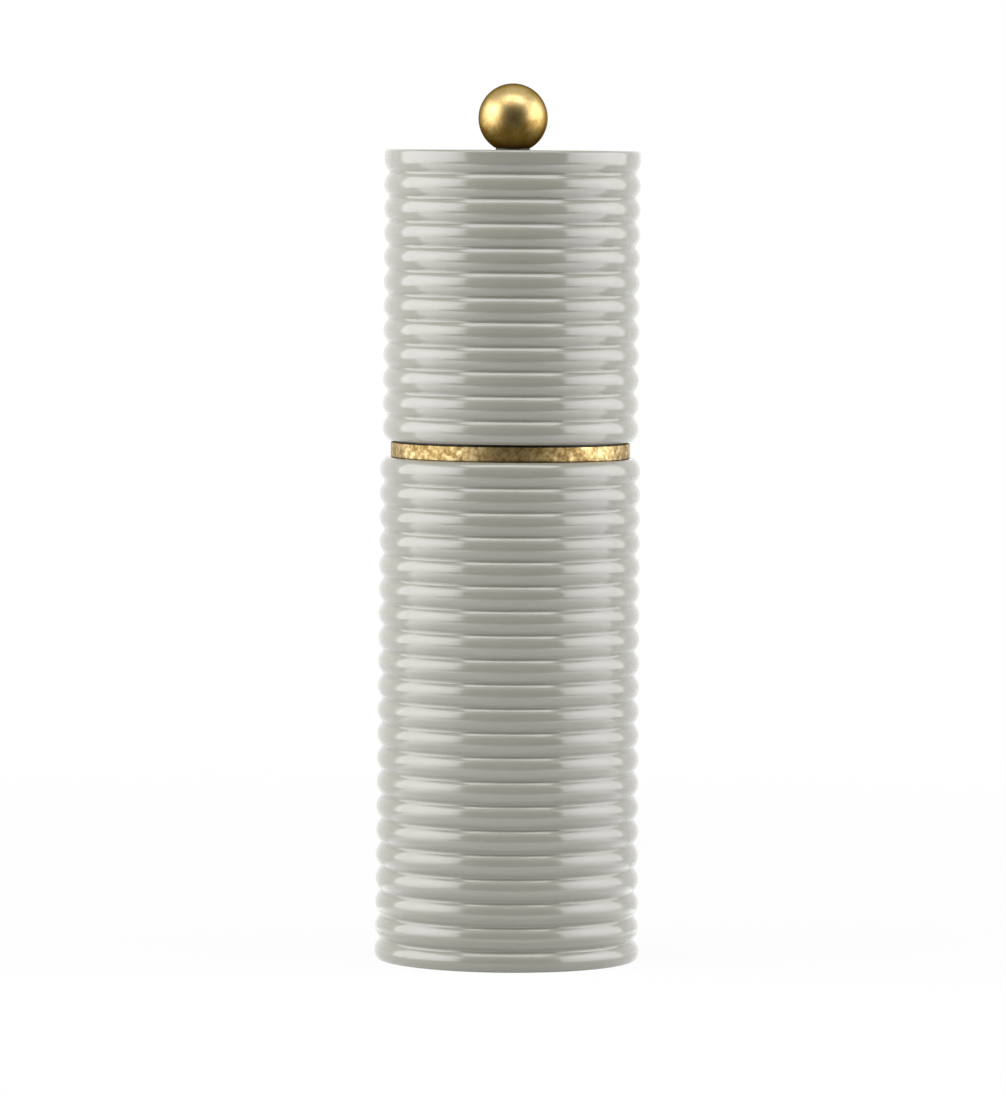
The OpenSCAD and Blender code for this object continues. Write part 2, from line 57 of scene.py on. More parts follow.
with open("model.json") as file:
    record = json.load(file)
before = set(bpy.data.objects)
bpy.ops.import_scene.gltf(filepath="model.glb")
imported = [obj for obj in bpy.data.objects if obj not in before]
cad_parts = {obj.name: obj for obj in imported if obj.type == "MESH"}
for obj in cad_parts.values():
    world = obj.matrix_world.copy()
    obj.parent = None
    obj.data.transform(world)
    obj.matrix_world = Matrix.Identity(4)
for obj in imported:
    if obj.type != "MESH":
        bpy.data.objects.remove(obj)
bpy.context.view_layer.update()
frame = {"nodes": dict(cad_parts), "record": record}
MM = 0.001
TURN = 2 * math.pi
SHARP_ANGLE = math.radians(40)
WIDE_RING_COLUMNS = 144
TOOTH_COLUMNS = 480
WHITE = (1, 1, 1)

# Sizes that the solids' boxes and bores don't give
FIT = 0.05 * MM             # between a turned seat and what sits in it
SOCKET_WALL = 4.0 * MM      # wood between the band and the socket
SOCKET_DROP = 1.0 * MM      # from the drive plate's top down to the socket's floor
FLANGE_TOP = 5.4 * MM       # height of the housing flange's top face
RECESS_PLAY = 0.2 * MM      # round the flange
SHAFT_HOLE = 4.0 * MM       # radius of the head's hole
LIP_REACH = 0.35 * MM       # of the glide ring's snap lip
LIP_DEPTH = 7.0 * MM        # from the head's underside down to the lip
LIP_HEIGHT = 0.8 * MM
GRINDING_FOOT = 13.5 * MM   # radius of the rotor's foot
GRINDING_GAP = 0.4 * MM     # between rotor and stator at the foot


# ---------------- sizes read from the solids

def low(node):
    """Height of a solid's lowest point."""
    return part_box(node)[0].z


def top(node):
    """Height of a solid's highest point."""
    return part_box(node)[1].z


def outer(node):
    """Reach of a solid from the axis along Y, which is its radius where it is round."""
    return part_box(node)[1].y


def bore(node):
    """Radius of a solid's bore: the smallest distance from the axis to one of its corners."""
    mesh = frame["nodes"][node].data
    points = np.empty(3 * len(mesh.vertices))
    mesh.vertices.foreach_get("co", points)
    return float(np.hypot(points[0::3], points[1::3]).min())


# ---------------- profiles, grids and meshes

def rounded(corners, radius, steps=5):
    """Open line of (radius, height) corners with every inner corner rounded to an arc.

    At a corner P with unit directions u and v to its neighbours, 2a apart, the arc's centre is
    P + (u + v) / |u + v| * q / sin a. It starts q / tan a along u and ends q / tan a along v,
    and its points are spherical blends of the two spokes from the centre. The radius q is one
    number or one for each inner corner."""
    points = np.asarray(corners, float)
    corner = points[1:-1]
    u, v = points[:-2] - corner, points[2:] - corner
    u_length = np.linalg.norm(u, axis=1, keepdims=True)
    v_length = np.linalg.norm(v, axis=1, keepdims=True)
    u, v = u / u_length, v / v_length
    half = np.arccos(np.clip((u * v).sum(1, keepdims=True), -1, 1)) / 2
    q = np.broadcast_to(np.asarray(radius, float).reshape(-1, 1), half.shape)
    q = np.minimum(q, 0.48 * np.minimum(u_length, v_length) * np.tan(half))
    middle = u + v
    centre = corner + middle / np.linalg.norm(middle, axis=1, keepdims=True) * q / np.sin(half)
    start = corner + u * q / np.tan(half) - centre
    end = corner + v * q / np.tan(half) - centre
    sweep = (math.pi - 2 * half)[:, None]
    t = np.linspace(0, 1, steps + 1)[None, :, None]
    spokes = np.sin((1 - t) * sweep) * start[:, None] + np.sin(t * sweep) * end[:, None]
    arcs = centre[:, None] + spokes / np.sin(sweep)
    return np.vstack([points[:1], arcs.reshape(-1, 2), points[-1:]])


def carried_round(profile, columns):
    """Grid of a profile carried round the axis: (r cos a, r sin a, z) at even angles a."""
    r, z = np.asarray(profile).T
    return rows_of_radii(np.repeat(r[:, None], columns, axis=1), z)


def even_angles(columns):
    """Even angles round the axis, from 0."""
    return np.linspace(0, TURN, columns, endpoint=False)


def rows_of_radii(radii, heights, twist=0.0):
    """Grid of rows whose radius changes with the angle: row i, column j lies at the angle
    a_j + twist_i, the radius radii[i, j] and the height heights[i]."""
    radii = np.asarray(radii)
    angle = even_angles(radii.shape[1]) + np.asarray(twist, float).reshape(-1, 1)
    z = np.broadcast_to(np.asarray(heights, float).reshape(-1, 1), radii.shape)
    return np.stack([radii * np.cos(angle), radii * np.sin(angle), z], axis=-1)


def polygon_radius(columns, sides, apothem, corner_limit):
    """Radius of a regular polygon at even angles: its apothem over the cosine of the angle from
    the nearest flat's middle, cut off at a limit that blunts its corners."""
    flat = TURN / sides
    off = np.mod(even_angles(columns) + flat / 2, flat) - flat / 2
    return np.minimum(apothem / np.cos(off), corner_limit)


def grid_mesh(name, grid, closed):
    """Mesh of a grid of rings. Closed joins the last ring to the first, and otherwise a point in
    the middle of each end ring closes it. Where the sum of the corner triangles' signed volumes
    is negative, the faces are turned round, so that they point outwards."""
    rows, columns = grid.shape[:2]
    points = grid.reshape(-1, 3)
    i = np.arange(rows if closed else rows - 1)[:, None]
    j = np.arange(columns)[None, :]
    here, there = i * columns, (i + 1) % rows * columns
    beside = (j + 1) % columns
    quads = np.stack([here + j, here + beside, there + beside, there + j], axis=-1).reshape(-1, 4)
    fans = np.empty((0, 3), int)
    if not closed:
        first, last = len(points), len(points) + 1
        points = np.vstack([points, grid[0].mean(0), grid[-1].mean(0)])
        ring, following = j[0], beside[0]
        base = (rows - 1) * columns
        fans = np.vstack([np.stack([following, ring, np.full(columns, first)], axis=-1),
                          np.stack([base + ring, base + following, np.full(columns, last)], axis=-1)])
    triangles = [quads[:, [0, 1, 2]], quads[:, [0, 2, 3]], fans]
    corners = points[np.vstack(triangles)].transpose(1, 0, 2)
    if (corners[0] * np.cross(corners[1], corners[2])).sum() < 0:
        quads, fans = quads[:, ::-1], fans[:, ::-1]
    mesh = bpy.data.meshes.new(name)
    mesh.from_pydata(points.tolist(), [], quads.tolist() + fans.tolist())
    mesh.validate()
    mesh.shade_smooth()
    mesh.set_sharp_from_angle(angle=SHARP_ANGLE)
    return mesh


def add_object(name, data, matrix=None):
    """Adds an object of a mesh, a lamp or a camera, at a matrix if there is one."""
    made = bpy.data.objects.new(name, data)
    bpy.context.scene.collection.objects.link(made)
    if matrix is not None:
        made.matrix_world = matrix
    return made


def add_piece(name, grid, closed, node, finish=None, stretched=None):
    """Adds the piece of a grid in place of a solid, on its body and in its slot, with the slot's
    finish if none is given. A stretched piece is not put on a body but baked where it stands;
    stretched gives a second body and the two ends, which are not used."""
    piece = add_object(name, grid_mesh(name, grid, closed))
    piece.data.materials.append(finish or finish_of(node))
    if stretched:
        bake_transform(piece)
    else:
        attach(piece, body_of_node(node))
    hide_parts(node)


def body_of_node(node):
    """Name of the moving body that holds a solid."""
    bodies = frame["record"]["behaviour"]["bodies"]
    return next(body for body, nodes in bodies.items() if node in nodes)


def slot_of_node(node):
    """Name of the material slot that the record gives a solid."""
    parts = frame["record"]["subparts"]
    return next(part["material_slot"] for part in parts if part["node"] == node)


# ---------------- shader maths

def wire_maths(operation, swapped=False):
    """A method of Wire: a Math node on the wire and another value, or swapped."""
    def method(self, other):
        values = (other, self) if swapped else (self, other)
        return self.recipe.maths(operation, *values)
    return method


class Wire:
    """A socket whose arithmetic adds Math nodes to its recipe's tree."""

    def __init__(self, recipe, socket):
        self.recipe = recipe
        self.socket = socket

    __add__ = __radd__ = wire_maths("ADD")
    __sub__ = wire_maths("SUBTRACT")
    __rsub__ = wire_maths("SUBTRACT", swapped=True)
    __mul__ = __rmul__ = wire_maths("MULTIPLY")
    __pow__ = wire_maths("POWER")
    __lt__ = wire_maths("LESS_THAN")
    __or__ = __ror__ = wire_maths("MAXIMUM")


class Recipe:
    """The node tree of one finish, lamp or world, from its coordinates to its shader."""

    def __init__(self, name, holder=None):
        self.holder = holder or bpy.data.materials.new(name)
        self.holder.use_nodes = True
        self.tree = self.holder.node_tree
        self.tree.nodes.clear()

    def node(self, kind, sockets=None, output=0, **settings):
        """Adds a shader node, makes its settings, gives its sockets values or links, and returns
        one of its outputs. The setting stops is a colour ramp's list of (place, colour). Colours
        have three numbers."""
        made = self.tree.nodes.new("ShaderNode" + kind)
        for key, value in settings.items():
            if key == "stops":
                set_stops(made.color_ramp.elements, value)
            else:
                setattr(made, key, value)
        for key, value in (sockets or {}).items():
            socket = made.inputs[key]
            if isinstance(value, Wire):
                self.tree.links.new(value.socket, socket)
            else:
                socket.default_value = (*value, 1.0) if socket.type == "RGBA" else value
        return Wire(self, made.outputs[output]) if made.outputs else None

    def maths(self, operation, *values):
        """A Math node's result for the given numbers or sockets."""
        return self.node("Math", dict(enumerate(values)), operation=operation)

    @cached_property
    def place(self):
        """Object coordinates, in metres."""
        return self.node("TexCoord", output=3)

    def split(self, vector):
        """The three numbers of a vector."""
        first = self.node("SeparateXYZ", {0: vector})
        return [Wire(self, socket) for socket in first.socket.node.outputs]

    def stretched(self, vector, scale):
        """A vector with each of its numbers scaled."""
        return self.node("VectorMath", {0: vector, 1: scale}, operation="MULTIPLY")

    def around(self):
        """Distance from the mill's axis, angle round it and height."""
        x, y, z = self.split(self.place)
        radius = (x * x + y * y) ** 0.5
        return radius, self.maths("ARCTAN2", y, x), z

    def noise(self, scale, detail=3.0, rough=0.5, vector=None):
        """Noise from 0 to 1 with the given number of cells a metre."""
        sockets = {"Vector": vector or self.place, "Scale": scale, "Detail": detail,
                   "Roughness": rough}
        return self.node("TexNoise", sockets, noise_dimensions="3D")

    def drawn_out(self, along, scale, detail, rough=0.5):
        """Noise drawn out along the axis, where along is below 1."""
        return self.noise(scale, detail, rough, self.stretched(self.place, (1, 1, along)))

    def turning_lines(self, around, scale, detail, rough=0.5):
        """Noise drawn out round the axis, as the lines that turning and brushing leave."""
        radius, angle, height = around
        stroke = self.node("CombineXYZ", {0: angle * 0.004, 1: height, 2: radius})
        return self.noise(scale, detail, rough, self.stretched(stroke, (0.25, 1, 1)))

    def between(self, value, start, end, at_start=0.0, at_end=1.0):
        """A smooth step from one number to another as the value goes from start to end."""
        return self.node("MapRange", {0: value, 1: start, 2: end, 3: at_start, 4: at_end},
                         interpolation_type="SMOOTHSTEP")

    def mixed(self, share, first, second):
        """A colour between two, by a share from 0 to 1."""
        return self.node("Mix", {0: share, 6: first, 7: second}, output=2, data_type="RGBA")

    def ramp(self, value, *stops):
        """A colour by a number, through (place, colour) stops."""
        return self.node("ValToRGB", {0: value}, stops=stops)

    def bump(self, height, depth, under=None):
        """A normal that a height from 0 to 1 tilts, with the depth of one unit in metres."""
        sockets = {"Height": height, "Distance": depth, "Strength": 1.0}
        if under is not None:
            sockets["Normal"] = under
        return self.node("Bump", sockets)

    def finished(self, **sockets):
        """Ends the tree in a Principled shader with the given sockets, whose names are written
        with underscores, and returns the material."""
        named = {key.replace("_", " "): value for key, value in sockets.items()}
        self.node("OutputMaterial", {0: self.node("BsdfPrincipled", named)})
        return self.holder

    def shine(self, strength):
        """White light of the given strength."""
        return self.node("Emission", {"Color": WHITE, "Strength": strength})


def set_stops(elements, stops):
    """Puts (place, colour) stops on a colour ramp's elements."""
    while len(elements) < len(stops):
        elements.new(1.0)
    for element, (place, shade) in zip(elements, stops):
        element.position, element.color = place, (*shade, 1.0)


def srgb(red, green, blue):
    """Linear colour of a display colour given from 0 to 255."""
    share = np.array([red, green, blue]) / 255
    linear = np.where(share <= 0.04045, share / 12.92, ((share + 0.055) / 1.055) ** 2.4)
    return tuple(float(x) for x in linear)


def shaded(base, factor):
    """A colour with each of its numbers scaled."""
    return tuple(factor * part for part in base)


# ---------------- what a user would change

def whole(label, default, least, most, about):
    """A setting for a whole number."""
    return IntProperty(name=label, description=about, default=default, min=least, max=most)


def number(label, default, about):
    """A setting for a plain number."""
    return FloatProperty(name=label, description=about, default=default)


def length(label, millimetres, about):
    """A setting for a length."""
    return FloatProperty(name=label, description=about, default=millimetres * MM, unit="LENGTH",
                         precision=5)


def rotation(label, degrees, about):
    """A setting for an angle."""
    return FloatProperty(name=label, description=about, default=math.radians(degrees), unit="ROTATION")


def tone(label, red, green, blue, about):
    """A setting for a colour, given by its display colour."""
    return FloatVectorProperty(name=label, description=about, subtype="COLOR",
                               default=srgb(red, green, blue))


class MillTurning(bpy.types.PropertyGroup):
    """Shape of the two ribbed turnings."""
    body_ribs: whole("Body ribs", 21, 14, 28, "Ribs on the body, with the foot rib")
    head_ribs: whole("Head ribs", 12, 8, 16, "Ribs on the head")
    bead: length("Rib radius", 4.1, "Radius of the ribs' rounded faces")
    groove: length("Groove radius", 1.0, "Radius in the bottom of the grooves")
    taper: length("Taper", 0.5, "How far the body leans in from foot to top")
    foot_spread: length("Foot spread", 0.2, "How far the foot rib stands out")
    foot_rise: length("Foot rise", 2.3, "Height of the foot rib's widest line")
    top_rise: length("Top rise", 2.9, "Height of the top rib's square upper half")
    rim: length("Rim radius", 1.0, "Radius round the head's top rim")
    foot_edge: length("Foot edge", 0.5, "Radius round the underside")
    edge: length("Edge radius", 0.4, "Radius on the other turned edges")
    rows: whole("Rows a rib", 16, 8, 32, "Rows of faces over one rib")
    groove_rows: whole("Rows a groove", 8, 4, 16, "Rows of faces over one groove's bottom")
    columns: whole("Columns", 144, 48, 192, "Faces round the turnings")


class MillGrinder(bpy.types.PropertyGroup):
    """Shape of the grinding pieces, the shaft and the spring."""
    teeth: whole("Fine teeth", 30, 12, 40, "Fine teeth round rotor and stator")
    tooth_depth: length("Tooth depth", 0.6, "Depth of the fine teeth")
    fine_height: length("Fine band", 3.5, "Height of the fine band")
    waist: length("Waist", 1.5, "How far the rotor narrows over its fine band")
    rotor_grooves: whole("Rotor grooves", 6, 3, 10, "Coarse grooves on the rotor")
    groove_depth: length("Groove depth", 1.6, "Depth of the rotor's coarse grooves")
    scoop_depth: length("Scoop depth", 0.9, "Depth of the stator's scoops")
    lead: rotation("Lead", 24, "Turn of the teeth over the rotor's height")
    thread_pitch: length("Thread pitch", 0.8, "Pitch of the shaft's thread")
    thread_depth: length("Thread depth", 0.4, "Depth of the shaft's thread")
    coil_turns: whole("Coil turns", 4, 3, 6, "Turns of the spring")
    wire: length("Wire", 0.8, "Diameter of the spring's wire")


class MillColours(bpy.types.PropertyGroup):
    """Colours of the finishes."""
    lacquer: tone("Lacquer", 150, 149, 134, "Lacquer on the turnings")
    beech: tone("Beech", 205, 170, 130, "Bare wood inside")
    gold: tone("Gold", 168, 145, 97, "Bright parts of the band")
    patina: tone("Patina", 112, 90, 48, "Dark parts of the band")
    brass: tone("Brass", 200, 177, 125, "The ball knob")
    steel: tone("Steel", 196, 196, 198, "Stainless pieces")
    aluminium: tone("Aluminium", 214, 214, 216, "The square shaft")
    ceramic: tone("Ceramic", 236, 233, 224, "The grinding pieces")
    moulding: tone("Moulding", 42, 42, 44, "Black moulded pieces")
    nylon: tone("Nylon", 226, 224, 212, "Pale nylon pieces")


class MillStudio(bpy.types.PropertyGroup):
    """Camera and lamps."""
    distance: length("Distance", 1900, "Camera's distance from the mill's axis")
    height: length("Height", 219.5, "Camera's height above the table")
    aside: length("Aside", 1.8, "How far the camera stands to the left")
    tilt: rotation("Tilt", 3.204, "How far the camera looks down")
    roll: rotation("Roll", 0.47, "How far the camera is turned about its view")
    lens: number("Lens", 227.5, "Focal length in millimetres")
    side_light: number("Side light", 2.6, "Brightness of the side softboxes")
    top_light: number("Top light", 4.0, "Brightness of the overhead softbox")
    fill: number("Fill", 0.12, "Brightness of the light from all round")


# ---------------- finishes

def lacquered_beech(name, colours, groove, bare):
    """Warm grey gloss lacquer over turned beech, bare where bare(radius, height) is 1 and with
    its grooves at the radius groove(height). The wood has growth rings about a pith beside the
    mill, fibres and flecks. The lacquer carries painted shade, a shade deeper towards the bottoms
    of the grooves; it also drifts a little in tone and has a faint orange peel."""
    mix = Recipe(name)
    radius, _, height = mix.around()
    pith = mix.node("VectorMath", {0: mix.place, 1: (0.047, 0.021, 0.0)}, operation="SUBTRACT")
    px, py, _ = mix.split(pith)
    sway = mix.drawn_out(0.15, 60, 2.0)
    rings = ((px * px + py * py) ** 0.5 + sway * 0.0022) * 420
    late = mix.between(mix.maths("FRACT", rings), 0.55, 0.98)
    fibre = mix.drawn_out(0.04, 2600, 3.0, 0.6)
    fleck = mix.between(mix.drawn_out(0.16, 1500, 1.0), 0.66, 0.74)
    beech, lacquer = colours.beech, colours.lacquer
    wood = mix.mixed(late * 0.55, beech, shaded(beech, 0.72))
    wood = mix.mixed(fibre * 0.35, wood, shaded(beech, 0.80))
    wood = mix.mixed(fleck * 0.5, wood, srgb(126, 84, 52))
    drift = mix.between(mix.noise(38, 3.0), 0.35, 0.65)
    coat = mix.mixed(drift, shaded(lacquer, 0.975), shaded(lacquer, 1.02))
    # Painted shade: the lacquer darkens towards the bottoms of the grooves, where shade falls.
    painted_groove_shade = mix.between(radius - groove(height), 0.0, 0.5 * MM, 1.0, 0.0)
    groove_shade_tone = [part * share for part, share in zip(lacquer, (0.80, 0.78, 0.74))]
    coat = mix.mixed(painted_groove_shade * 0.6, coat, groove_shade_tone)
    is_bare = bare(radius, height)
    peel = mix.noise(900, 2.0)
    coat_rough = 0.16 + mix.noise(220, 3.0) * 0.05
    rough = coat_rough + is_bare * (0.56 - coat_rough)
    relief = mix.bump(peel * (1 - is_bare), 0.006 * MM, mix.bump(fibre * is_bare, 0.05 * MM))
    return mix.finished(Base_Color=mix.mixed(is_bare, coat, wood), Roughness=rough, Normal=relief,
                        Specular_IOR_Level=0.2, Coat_Weight=1 - is_bare, Coat_Roughness=0.13,
                        Coat_IOR=1.5)


def gilded(name, colours, joint):
    """Antique gold leaf: bright leaf broken by brown patina in flecks and larger clouds, over a
    softly beaten surface, with a painted shadow along the joint at the bottom."""
    mix = Recipe(name)
    _, _, height = mix.around()
    flecks = mix.noise(620, 4.0, 0.62)
    clouds = mix.noise(130, 2.0)
    worn = mix.between(flecks * 0.75 + clouds * 0.4, 0.42, 0.72)
    gold, patina = colours.gold, colours.patina
    leaf = mix.ramp(worn, (0.0, patina), (0.45, shaded(gold, 0.75)), (0.75, gold),
                    (1.0, srgb(198, 178, 130)))
    # Painted shadow: the leaf turns dark along the joint at the band's bottom edge.
    painted_joint_shadow = mix.between(height, joint, joint + 0.55 * MM, 1.0, 0.0)
    leaf = mix.mixed(painted_joint_shadow, leaf, shaded(patina, 0.35))
    rough = 0.56 - worn * 0.16
    beaten = mix.noise(420, 2.0)
    relief = mix.bump(beaten, 0.14 * MM, mix.bump(flecks, 0.05 * MM))
    return mix.finished(Base_Color=leaf, Metallic=1.0, Roughness=rough, Normal=relief)


def brushed(name, base, rough, lines, depth, along="round"):
    """Brushed metal: fine lines round the axis, or along it, that roughen and tint the surface."""
    mix = Recipe(name)
    if along == "round":
        grain = mix.turning_lines(mix.around(), lines, 3.0, 0.65)
    else:
        grain = mix.drawn_out(0.02, lines, 3.0, 0.65)
    smudge = mix.noise(160, 3.0)
    tint = mix.mixed(mix.between(smudge, 0.3, 0.7), shaded(base, 0.9), base)
    tint = mix.mixed(grain * 0.35, tint, shaded(base, 0.84))
    return mix.finished(Base_Color=tint, Metallic=1.0, Roughness=rough + grain * 0.1 - 0.05,
                        Normal=mix.bump(grain, depth))


def aged_brass(name, base, patina, foot):
    """Turned brass that has darkened with age: brown patina in specks and clouds, painted shade
    that darkens it further low down on the ball, and a darker edge."""
    mix = Recipe(name)
    around = mix.around()
    specks = mix.noise(1700, 3.0, 0.6)
    clouds = mix.noise(260, 3.0)
    lines = mix.turning_lines(around, 1500, 2.0)
    aged = mix.between(specks * 0.45 + clouds * 0.75, 0.42, 0.82) * 0.55
    # Painted shade: more of the patina colour towards the bottom of the ball, which faces down.
    painted_low_shade = mix.between(around[2], foot + 0.6 * MM, foot + 13.1 * MM, 0.75, 0.0)
    aged = mix.maths("MINIMUM", aged + painted_low_shade, 1.0)
    tint = mix.mixed(aged, base, patina)
    tint = mix.mixed(lines * 0.25, tint, patina)
    return mix.finished(Base_Color=tint, Metallic=1.0, Roughness=0.28 + aged * 0.14 + lines * 0.06,
                        Specular_Tint=srgb(60, 44, 26),
                        Normal=mix.bump(specks, 0.02 * MM, mix.bump(lines, 0.01 * MM)))


def moulded(name, base, rough, texture, depth):
    """Moulded plastic with a fine spark-eroded texture and a faint flow in its tone."""
    mix = Recipe(name)
    pits = mix.noise(texture, 2.0)
    flow = mix.between(mix.noise(90, 2.0), 0.3, 0.7)
    tint = mix.mixed(flow, shaded(base, 0.88), shaded(base, 1.08))
    return mix.finished(Base_Color=tint, Roughness=rough + pits * 0.12 - 0.06,
                        Normal=mix.bump(pits, depth))


def fired_ceramic(name, base):
    """Unglazed white ceramic: a dry, fine-grained surface with a few grey specks."""
    mix = Recipe(name)
    grain = mix.noise(3200, 2.0)
    specks = mix.between(mix.noise(1400, 1.0), 0.72, 0.78)
    cloud = mix.between(mix.noise(240, 2.0), 0.3, 0.7)
    tint = mix.mixed(cloud, shaded(base, 0.95), base)
    tint = mix.mixed(specks * 0.5, tint, srgb(150, 145, 136))
    return mix.finished(Base_Color=tint, Roughness=0.42 + grain * 0.12,
                        Normal=mix.bump(grain, 0.012 * MM))


def zinc_plated(name, base):
    """Zinc plating: pale metal with cloudy patches of warmer and cooler tone."""
    mix = Recipe(name)
    cloud = mix.noise(520, 3.0)
    tint = mix.ramp(cloud, (0.3, shaded(base, 0.8)), (0.5, base), (0.7, srgb(205, 196, 168)))
    return mix.finished(Base_Color=tint, Metallic=1.0, Roughness=0.3 + cloud * 0.12,
                        Normal=mix.bump(mix.noise(1800, 2.0), 0.01 * MM))


def make_finishes(colours):
    """The finishes that more than one piece uses, by the name of the record's slot."""
    brass, steel, moulding = colours.brass, colours.steel, colours.moulding
    return {
        "gold_band": gilded("gilded_band_finish", colours, low("band_ring")),
        "brushed_brass": aged_brass("ball_brass", brass, srgb(132, 105, 42), low("ball_knob")),
        "brass": brushed("turned_brass", brass, 0.25, 2400, 0.01 * MM),
        "black_nylon": moulded("black_nylon_finish", shaded(moulding, 0.75), 0.48, 2400, 0.01 * MM),
        "black_washer": moulded("black_washer_finish", srgb(24, 22, 20), 0.6, 2400, 0.012 * MM),
        "white_nylon": moulded("white_nylon_finish", colours.nylon, 0.38, 1800, 0.006 * MM),
        "black_moulding": moulded("black_moulding_finish", moulding, 0.42, 1500, 0.018 * MM),
        "ceramic": fired_ceramic("fired_ceramic_finish", colours.ceramic),
        "stainless": brushed("stainless_finish", steel, 0.30, 1800, 0.008 * MM),
        "spring_steel": brushed("spring_steel_finish", shaded(steel, 0.62), 0.28, 2600, 0.006 * MM),
        "screw_steel": zinc_plated("zinc_finish", steel),
        "shaft_aluminium": brushed("drawn_aluminium", colours.aluminium, 0.32, 2200, 0.01 * MM,
                                   along="axis"),
    }


FINISHES = {}


def finish_of(node):
    """The shared finish of a solid's slot. All are made on the first use."""
    if not FINISHES:
        FINISHES.update(make_finishes(bpy.context.scene.mill_colours))
    return FINISHES[slot_of_node(node)]


# ---------------- the two turnings

def arc(centre, radius, start, end, steps):
    """Points of an arc about C from one angle to just before another: C + q (cos t, sin t)."""
    t = np.linspace(start, end, steps, endpoint=False)
    return np.asarray(centre) + radius * np.stack([np.cos(t), np.sin(t)], axis=-1)


def groove_centre(lower, lower_reach, upper, upper_reach):
    """Outer crossing of two circles about the centres A and B, with the reaches p and q.

    With u the unit direction from A to B, d apart, and n its normal towards +r, the crossing is
    A + s u + sqrt(p^2 - s^2) n, where s = (p^2 - q^2 + d^2) / 2d."""
    apart = np.linalg.norm(upper - lower)
    u = (upper - lower) / apart
    along = (lower_reach ** 2 - upper_reach ** 2 + apart ** 2) / (2 * apart)
    return lower + along * u + math.sqrt(lower_reach ** 2 - along ** 2) * np.array([u[1], -u[0]])


def rib_line(centres, beads, start, end, turning):
    """Open line over a stack of ribs, from the angle start on the lowest to end on the highest.

    Rib i is an arc of radius b_i about the centre C_i. The groove above it is an arc of radius q
    about the point b_i + q from C_i and b_j + q from the next centre C_j, so that it touches
    both ribs on the lines between the centres."""
    groove, parts = turning.groove, []
    for i in range(len(centres) - 1):
        lower, upper = centres[i], centres[i + 1]
        middle = groove_centre(lower, beads[i] + groove, upper, beads[i + 1] + groove)
        leave = math.atan2(*(middle - lower)[::-1])
        arrive = math.atan2(*(middle - upper)[::-1])
        parts.append(arc(lower, beads[i], start, leave, turning.rows))
        parts.append(arc(middle, groove, math.pi + leave, math.pi + arrive, turning.groove_rows))
        start = arrive
    parts.append(arc(centres[-1], beads[-1], start, end, turning.rows))
    return np.vstack(parts)


def leaned(points, pivot, angle):
    """Points turned about a pivot in the plane of radius and height."""
    c, s = math.cos(angle), math.sin(angle)
    return (np.asarray(points) - pivot) @ np.array([[c, s], [-s, c]]) + pivot


def rib_reach(turning, pitch):
    """Distance from the line of the ribs' centres out to the centres of the grooves."""
    return math.sqrt((turning.bead + turning.groove) ** 2 - (pitch / 2) ** 2)


def body_pitch(turning):
    """Height of one of the body's ribs. The foot rib's widest line is low, and the top rib ends
    half a rib over its own."""
    return (low("band_ring") - turning.foot_rise) / (turning.body_ribs - 0.5)


def head_pitch(turning):
    """Height of one of the head's ribs under the top rib's widest line."""
    height = top("head_casing") - turning.top_rise - top("glide_ring")
    return height / (turning.head_ribs - 0.5)


def snap_lip():
    """Radius, top and bottom of the glide ring's snap lip, which the tenon's groove takes."""
    lip_top = top("glide_ring") - LIP_DEPTH
    return bore("glide_ring"), lip_top, lip_top - LIP_HEIGHT


def body_profile(turning):
    """Closed profile of the body: the foot's edge, the ribs, the neck inside the band, the
    socket, the chamber and the recess for the grinder's flange.

    The foot rib's radius is the one whose circle touches the lowest groove, (h^2 + a^2 - q^2) /
    2(q - a), where h is half the pitch, q the groove's radius and a the distance from the foot
    rib's crest out to the groove's centre. The ribs lean in about the foot rib's centre."""
    foot_radius = outer("body_casing")
    top_z, rise, edge = low("band_ring"), turning.foot_rise, turning.foot_edge
    pitch = body_pitch(turning)
    radius = foot_radius - turning.foot_spread
    out = rib_reach(turning, pitch) - turning.bead - turning.foot_spread
    foot_bead = ((pitch / 2) ** 2 + out ** 2 - turning.groove ** 2) / (2 * (turning.groove - out))
    foot = np.array([foot_radius - foot_bead, rise])
    others = [(radius - turning.bead, rise + i * pitch) for i in range(1, turning.body_ribs)]
    centres = leaned([foot, *others], foot, math.asin(turning.taper / (top_z - rise)))
    beads = [foot_bead] + [turning.bead] * len(others)
    arc_centre = foot[0] + math.sqrt((foot_bead - edge) ** 2 - (rise - edge) ** 2)
    start = math.atan2(edge - rise, arc_centre - foot[0])
    end = math.asin((top_z - centres[-1][1]) / turning.bead)
    foot_edge = arc((arc_centre, edge), edge, -math.pi / 2, start, 6)
    ribs = rib_line(centres, beads, start, end, turning)
    neck, neck_top = bore("band_ring") - FIT, top("band_ring")
    socket, socket_z = neck - SOCKET_WALL, top("drive_plate") - SOCKET_DROP
    chamber, recess = bore("body_casing"), outer("mechanism_housing") + RECESS_PLAY
    shoulder = centres[-1][0] + turning.bead * math.cos(end)
    inside = rounded([(shoulder, top_z), (neck, top_z), (neck, neck_top), (socket, neck_top),
                      (socket, socket_z), (chamber, socket_z), (chamber, FLANGE_TOP),
                      (recess, FLANGE_TOP), (recess, 0), (arc_centre, 0)], turning.edge)[:-1]
    return np.vstack([foot_edge, ribs, inside])


